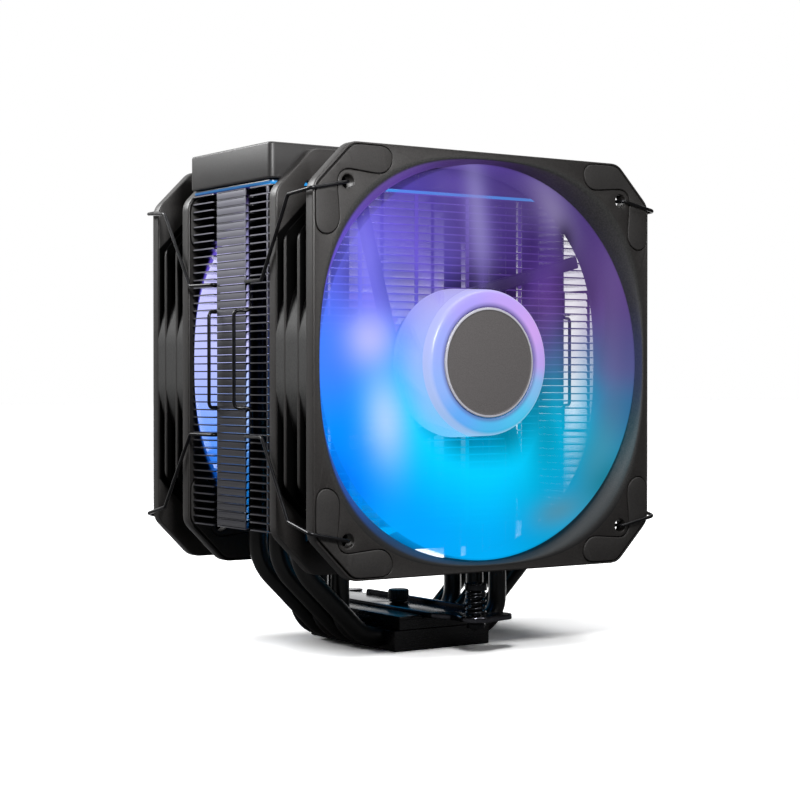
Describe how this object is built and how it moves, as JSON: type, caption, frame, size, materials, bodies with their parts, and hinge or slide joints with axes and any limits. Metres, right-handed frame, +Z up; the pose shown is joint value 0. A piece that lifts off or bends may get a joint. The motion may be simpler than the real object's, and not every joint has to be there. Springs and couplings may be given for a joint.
{
  "type": "cpu tower cooler",
  "caption": "Tower cooler for a processor: finned stack on U-shaped heat pipes and a contact base, between two lit fans held by wire clips.",
  "frame": {"origin": "centre of the contact face under the base", "axes": "+Z up along the heat pipes' risers, +Y from the front fan to the rear fan, +X to the right seen from the front"},
  "size_m": [0.1344, 0.1044, 0.157],
  "materials": {
    "frame_plastic": "matt moulded, fine grain",
    "pad_rubber": "matt",
    "frosted_plastic": "frosted translucent",
    "cap_plastic": "satin",
    "black_metal": "satin black",
    "fin_metal": "satin black coating",
    "cover_metal": "matt black",
    "dark_steel": "polished, black nickel",
    "shaft_steel": "ground",
    "light_plastic": "clear diffuser",
    "board": "solder mask",
    "stator_copper": "wound copper",
    "bearing_bronze": "sintered"
  },
  "bodies": {
    "cooler": {"base_plate": "black_metal", "base_block": "black_metal", "heat_pipe_1": "black_metal", "heat_pipe_2": "black_metal", "heat_pipe_3": "black_metal", "heat_pipe_4": "black_metal", "heat_pipe_5": "black_metal", "heat_pipe_6": "black_metal", "fin_stack": "fin_metal", "top_cover": "cover_metal", "light_bar": "light_plastic", "light_board": "board", "crossbar": "dark_steel", "front_fan_frame": "frame_plastic", "front_bearing_sleeve": "bearing_bronze", "front_stator": "stator_copper", "front_motor_board": "board", "front_spring": "dark_steel", "rear_fan_frame": "frame_plastic", "rear_bearing_sleeve": "bearing_bronze", "rear_stator": "stator_copper", "rear_motor_board": "board", "rear_spring": "dark_steel", "front_pad_front_upper_right": "pad_rubber", "front_pad_front_upper_left": "pad_rubber", "front_pad_front_lower_left": "pad_rubber", "front_pad_front_lower_right": "pad_rubber", "front_pad_rear_upper_right": "pad_rubber", "front_pad_rear_upper_left": "pad_rubber", "front_pad_rear_lower_left": "pad_rubber", "front_pad_rear_lower_right": "pad_rubber", "rear_pad_front_upper_right": "pad_rubber", "rear_pad_front_upper_left": "pad_rubber", "rear_pad_front_lower_left": "pad_rubber", "rear_pad_front_lower_right": "pad_rubber", "rear_pad_rear_upper_right": "pad_rubber", "rear_pad_rear_upper_left": "pad_rubber", "rear_pad_rear_lower_left": "pad_rubber", "rear_pad_rear_lower_right": "pad_rubber"},
    "front_fan_wheel": {"front_rotor": "frosted_plastic", "front_hub_cap": "cap_plastic", "front_magnet_ring": "dark_steel", "front_rotor_shaft": "shaft_steel"},
    "rear_fan_wheel": {"rear_rotor": "frosted_plastic", "rear_hub_cap": "cap_plastic", "rear_magnet_ring": "dark_steel", "rear_rotor_shaft": "shaft_steel"},
    "front_screw_retainer": {"front_retaining_ring": "dark_steel"},
    "front_screw": {"front_spring_screw": "dark_steel"},
    "rear_screw_retainer": {"rear_retaining_ring": "dark_steel"},
    "rear_screw": {"rear_spring_screw": "dark_steel"},
    "knob": {"thumb_knob": "dark_steel"},
    "front_left_wire": {"front_left_clip": "dark_steel"},
    "front_right_wire": {"front_right_clip": "dark_steel"},
    "rear_left_wire": {"rear_left_clip": "dark_steel"},
    "rear_right_wire": {"rear_right_clip": "dark_steel"}
  },
  "joints": [
    {"name": "front_fan_spin", "type": "hinge", "parent": "cooler", "child": "front_fan_wheel", "pos_m": [0, -0.038, 0.0908], "axis": [0, -1, 0], "continuous": true},
    {"name": "rear_fan_spin", "type": "hinge", "parent": "cooler", "child": "rear_fan_wheel", "pos_m": [0, 0.038, 0.0908], "axis": [0, -1, 0], "continuous": true},
    {"name": "front_screw_press", "type": "slide", "parent": "cooler", "child": "front_screw_retainer", "axis": [0, 0, -1], "range_m": [0, 0.003], "stiffness_N_per_m": 1500, "springref_m": -0.001, "deforming": ["front_spring"]},
    {"name": "front_screw_turn", "type": "hinge", "parent": "front_screw_retainer", "child": "front_screw", "pos_m": [0, -0.0426, 0.015], "axis": [0, 0, 1], "continuous": true},
    {"name": "rear_screw_press", "type": "slide", "parent": "cooler", "child": "rear_screw_retainer", "axis": [0, 0, -1], "range_m": [0, 0.003], "stiffness_N_per_m": 1500, "springref_m": -0.001, "deforming": ["rear_spring"]},
    {"name": "rear_screw_turn", "type": "hinge", "parent": "rear_screw_retainer", "child": "rear_screw", "pos_m": [0, 0.0426, 0.015], "axis": [0, 0, 1], "continuous": true},
    {"name": "knob_turn", "type": "hinge", "parent": "cooler", "child": "knob", "pos_m": [0, 0, 0.0127], "axis": [0, 0, 1], "continuous": true},
    {"name": "front_left_clip_swing", "type": "hinge", "parent": "cooler", "child": "front_left_wire", "pos_m": [-0.0525, -0.0505, 0.0908], "axis": [0, 0, 1], "range_deg": [0, 20], "stiffness_Nm_per_rad": 0.2, "springref_deg": -1.15},
    {"name": "front_right_clip_swing", "type": "hinge", "parent": "cooler", "child": "front_right_wire", "pos_m": [0.0525, -0.0505, 0.0908], "axis": [0, 0, -1], "range_deg": [0, 20], "stiffness_Nm_per_rad": 0.2, "springref_deg": -1.15},
    {"name": "rear_left_clip_swing", "type": "hinge", "parent": "cooler", "child": "rear_left_wire", "pos_m": [-0.0525, 0.0505, 0.0908], "axis": [0, 0, -1], "range_deg": [0, 20], "stiffness_Nm_per_rad": 0.2, "springref_deg": -1.15},
    {"name": "rear_right_clip_swing", "type": "hinge", "parent": "cooler", "child": "rear_right_wire", "pos_m": [0.0525, 0.0505, 0.0908], "axis": [0, 0, 1], "range_deg": [0, 20], "stiffness_Nm_per_rad": 0.2, "springref_deg": -1.15}
  ]
}
